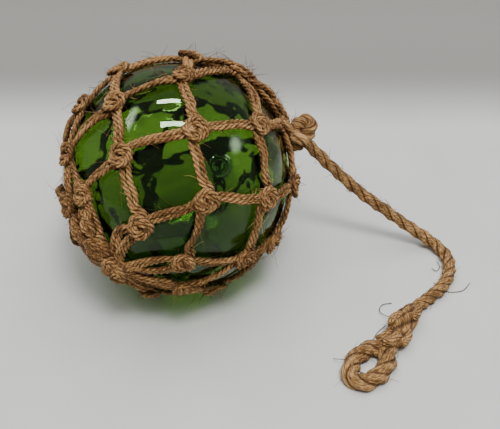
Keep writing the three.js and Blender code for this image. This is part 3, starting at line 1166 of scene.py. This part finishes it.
class AddHangingRope(bpy.types.Operator):
    """Lays the three-strand hanging rope with its two eyes, its splice and its fibres"""

    bl_idname = "object.float_hanging_rope"
    bl_label = "Hanging rope"

    def execute(self, context):
        cord = settings().cord
        line, normals, first, last = rope_line()
        manila = laid_manila("three_strand_manila_rope", ROPE_COLOURS, 0.7, 40)
        rng = random.Random(SEED + 1)
        count = len(line)
        along = np.arange(count) * ROPE_STEP
        # Hanging straight the rope has opened a little, and it is tight towards the splice.
        slack = np.interp(along, (0, 60, 130, 185, 225, 260), (1.9, 2.15, 1.9, 1.3, 1.05, 1.75))
        lay = cord.rope_lay / MM * slack
        twist = 2 * math.pi * np.cumsum(ROPE_STEP / lay)
        full = cord.rope_thickness / MM / 2
        radius = full * np.interp(along, (0, 40, 180, 225), (0.86, 0.88, 1.0, 1.0))
        strand_tones = np.stack([0.5 + 0.35 * soft_noise(count, 12, rng) for _ in range(3)], 1)

        def laid(mesh, part, thick=radius, depth=0.17):
            mesh.sweep(
                line[part],
                normals[part],
                thick[part],
                1,
                3,
                ROPE_POINTS,
                depth,
                twist=twist[part],
                yarns=16,
                rng=rng,
                tone=strand_tones[part],
            )

        mesh = CordMesh()
        laid(mesh, slice(first, last + 1))
        free = mesh.build("hanging_rope_free", manila, over_glass=False)
        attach(free, "root")
        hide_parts("hanging_rope")

        mesh = CordMesh()
        laid(mesh, slice(0, first + 1))
        ring = self.head_ring()
        outwards = np.tile(head_eye_frame()[1], (len(ring), 1))
        thick = HEAD_EYE["radius"]
        mesh.sweep(ring, outwards, thick, 17, 3, ROPE_POINTS, 0.17, True, yarns=16, rng=rng)
        head = mesh.build("head_eye_rope", manila)
        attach(head, "root")
        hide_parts("head_eye")

        mesh = CordMesh()
        swell = radius + (EYE_RADIUS - radius) * np.clip((along - along[last] - 12) / 14, 0, 1)
        laid(mesh, slice(last, count), swell, 0.2)
        self.splice(mesh, line[last - 4 :], normals[last - 4 :], rng)
        eye = mesh.build("lower_eye_rope", manila, over_glass=False)
        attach(eye, "root")
        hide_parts("lower_eye")

        mesh = CordMesh()
        roots = []
        for part in (slice(first, last), slice(last, count)):
            sides = np.cross(tangents_of(line[part]), normals[part])
            roots.append((line[part], normals[part], sides, swell[part].mean() + 0.6))
        add_hairs(mesh, roots, rng, 2.2, longest=7.0)
        for points in LONG_FIBRES:
            fibre = smooth_route([from_table(point) for point in points], 1.0)
            mesh.sweep(fibre, steady_normals(fibre, (0, 0, 1)), 0.3, 500, 3, 1, 0.0, tone=-1.2)
        fibres = mesh.build("rope_fibres", manila, over_glass=False)
        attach(fibres, "root")

        return {"FINISHED"}

    def head_ring(self):
        """The eye that the head loops run through."""
        out, front, along, middle = head_eye_frame()
        lean = math.radians(-HEAD_EYE["lean"])
        points = []
        for degrees in range(0, 360, 24):
            angle = math.radians(degrees)
            x, y = HEAD_EYE["wide"] * math.cos(angle), HEAD_EYE["long"] * math.sin(angle)
            x, y = x * math.cos(lean) - y * math.sin(lean), x * math.sin(lean) + y * math.cos(lean)
            points.append(middle + out * (x - 1.3) + along * (y + 1.0) - front * 1.5)
        return smooth_route(points, ROPE_STEP, closed=True)

    def splice(self, mesh, line, normals, rng):
        """The rope's end tucked into its standing part, with the blunt ends of its strands."""
        reach = int(SPLICE["long"] / ROPE_STEP)
        line, normals = line[:reach].copy(), normals[:reach]
        share = np.linspace(0, 1, reach)
        radius = SPLICE["radius"] * np.interp(
            share, (0, 0.12, 0.3, 0.5, 0.85, 1), (0.5, 0.72, 0.95, 1.0, 0.95, 0.74)
        )
        line[:, 2] = np.maximum(line[:, 2], 0.84 * radius - BALL_CENTRE[2])
        mesh.weave(line, normals, radius, SPLICE["lay"], 6, rng)
        ways = tangents_of(line)
        sides = np.cross(ways, normals)
        for at, degrees, slope in SPLICE_ENDS:
            i = int(at * (reach - 1))
            angle = math.radians(degrees)
            off = math.cos(angle) * normals[i] + math.sin(angle) * sides[i]
            across = np.cross(ways[i], off)
            start = line[i] + off * (radius[i] - 2.0) - ways[i] * 7
            points = [
                start - off,
                start + 3.5 * ways[i] + off * 1.2,
                start + 8 * ways[i] + off * 1.8,
                start + 12 * ways[i] + off * 1.6 + across * slope,
            ]
            end = smooth_route(points, ROPE_STEP)
            mesh.sweep(end, steady_normals(end, off), 3.1, 30, 7, 4, 0.12, rng=rng, tone=0.9)


class AddGlassBall(bpy.types.Operator):
    """Blows the glass ball with its seal button and gives it a wall"""

    bl_idname = "object.float_glass_ball"
    bl_label = "Glass ball"

    def execute(self, context):
        sizes = settings().ball
        radius = BALL_RADIUS * MM
        deselect()
        bpy.ops.mesh.primitive_uv_sphere_add(
            segments=192, ring_count=128, radius=radius, location=(0, 0, 0)
        )
        ball = context.object
        ball.name = "blown_glass_ball"
        foot = math.sqrt(radius**2 - sizes.seal_radius**2)
        bpy.ops.object.mode_set(mode="EDIT")
        bpy.ops.mesh.select_all(action="SELECT")
        bpy.ops.mesh.bisect(
            plane_co=(0, 0, foot), plane_no=(0, 0, 1), clear_outer=True, use_fill=False
        )
        rise = 0.0
        for share, lift in SEAL_RINGS:
            bpy.ops.mesh.extrude_region_move(
                TRANSFORM_OT_translate={"value": (0, 0, lift * MM - rise)}
            )
            rise = lift * MM
            size = share * sizes.seal_radius
            self.set_ring(context, size)
        bpy.ops.mesh.edge_face_add()
        bpy.ops.object.mode_set(mode="OBJECT")

        seal = Vector(direction(*SEAL_PLACE))
        ball.rotation_mode = "QUATERNION"
        ball.rotation_quaternion = Vector((0, 0, 1)).rotation_difference(seal)
        bpy.ops.object.transform_apply(location=False, rotation=True, scale=True)

        self.wave(ball, "long_wave", 0.05, 0.5)
        self.wave(ball, "short_wave", 0.012, 0.05)
        # The group is named by plain text: its own reference is lost once a modifier is applied.
        ball.vertex_groups.new(name="inner")
        wall = ball.modifiers.new("wall", "SOLIDIFY")
        wall.thickness = sizes.wall
        wall.offset = -1
        wall.shell_vertex_group = "inner"
        bpy.ops.object.modifier_apply(modifier=wall.name)
        self.wave(ball, "uneven_wall", 0.02, 1.9, "inner")
        ball.location = Vector(BALL_CENTRE * MM)
        bpy.ops.object.transform_apply(location=True, rotation=False, scale=False)
        bpy.ops.object.shade_smooth()
        ball.data.materials.clear()
        ball.data.materials.append(bottle_glass())
        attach(ball, "root")
        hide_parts("glass_ball")
        return {"FINISHED"}

    def wave(self, ball, name, scale, strength, group=""):
        """Gives the glass a soft wave: the size of its waves in metres and their height in mm."""
        texture = bpy.data.textures.new(name, "CLOUDS")
        texture.noise_scale = scale
        uneven = ball.modifiers.new(name, "DISPLACE")
        uneven.texture = texture
        uneven.texture_coords = "LOCAL"
        uneven.strength = strength * MM
        uneven.mid_level = 0.5
        uneven.vertex_group = group
        bpy.ops.object.modifier_apply(modifier=uneven.name)

    def set_ring(self, context, size):
        """Scales the selected ring to a radius round the Z axis."""
        edit = bmesh.from_edit_mesh(context.object.data)
        for vertex in edit.verts:
            if vertex.select:
                flat = math.hypot(vertex.co.x, vertex.co.y)
                vertex.co.x *= size / flat
                vertex.co.y *= size / flat
        bmesh.update_edit_mesh(context.object.data)


class AddRopeNet(bpy.types.Operator):
    """Ties the net of doubled cords round the ball"""

    bl_idname = "object.float_rope_net"
    bl_label = "Rope net"

    def execute(self, context):
        manila = laid_manila("laid_manila_net_cord", NET_COLOURS, 0.6, -38)
        rng = random.Random(SEED)
        routes = {
            "head_loops": head_route(rng, 2.2, 3.4, 1.0, range(COLUMNS)),
            "head_loops_outer": head_route(rng, 3.4, 7.2, 1.14, (7, 0), True),
        }
        for row in range(len(ROW_POLAR) - 1):
            routes[f"net_row_{row + 1}"] = row_route(row, rng)
        routes["foot_loops"] = foot_route(rng, 3.0, 3.0, 1.0, range(COLUMNS))
        routes["foot_loops_outer"] = foot_route(rng, 4.6, 6.4, 1.12, (6, 7), True)
        routes["foot_tangle"] = tangle_route(rng, (171, 2), 11, 10, 13)
        routes["foot_tangle_left"] = tangle_route(rng, (163, -40), 8, 9, 8)
        hairs, roots = CordMesh(), []
        for name, points in routes.items():
            mesh = CordMesh()
            paired(mesh, points, rng)
            if not name.startswith("foot"):
                roots += mesh.hair_roots
            piece = mesh.build(name, manila)
            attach(piece, "root")
            if name == "net_row_1":
                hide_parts("rope_net")
        add_hairs(hairs, roots, rng, HAIR_SPACING)
        piece = hairs.build("stray_fibres", manila)
        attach(piece, "root")
        return {"FINISHED"}


class FloatBallPanel(bpy.types.Panel):
    """Lists the steps that build the float ball"""

    bl_idname = "VIEW3D_PT_float_ball"
    bl_label = "Float ball"
    bl_space_type = "VIEW_3D"
    bl_region_type = "UI"
    bl_category = "Float ball"

    def draw(self, context):
        for step in STEPS:
            self.layout.operator(step.bl_idname)
        for group in (settings().ball, settings().cord):
            for name in group.__annotations__:
                self.layout.prop(group, name)


STEPS = (SetStage, AddHangingRope, AddGlassBall, AddRopeNet)
CLASSES = (FloatBallSizes, FloatCordSizes, FloatBallSettings, *STEPS, FloatBallPanel)


def register():
    for item in CLASSES:
        bpy.utils.register_class(item)
    bpy.types.Scene.float_ball = bpy.props.PointerProperty(type=FloatBallSettings)


def unregister():
    del bpy.types.Scene.float_ball
    for item in reversed(CLASSES):
        bpy.utils.unregister_class(item)


def main():
    """Builds everything in order."""
    register()
    bpy.ops.scene.float_stage()
    bpy.ops.object.float_hanging_rope()
    bpy.ops.object.float_glass_ball()
    bpy.ops.object.float_rope_net()


if __name__ == "__main__":
    main()
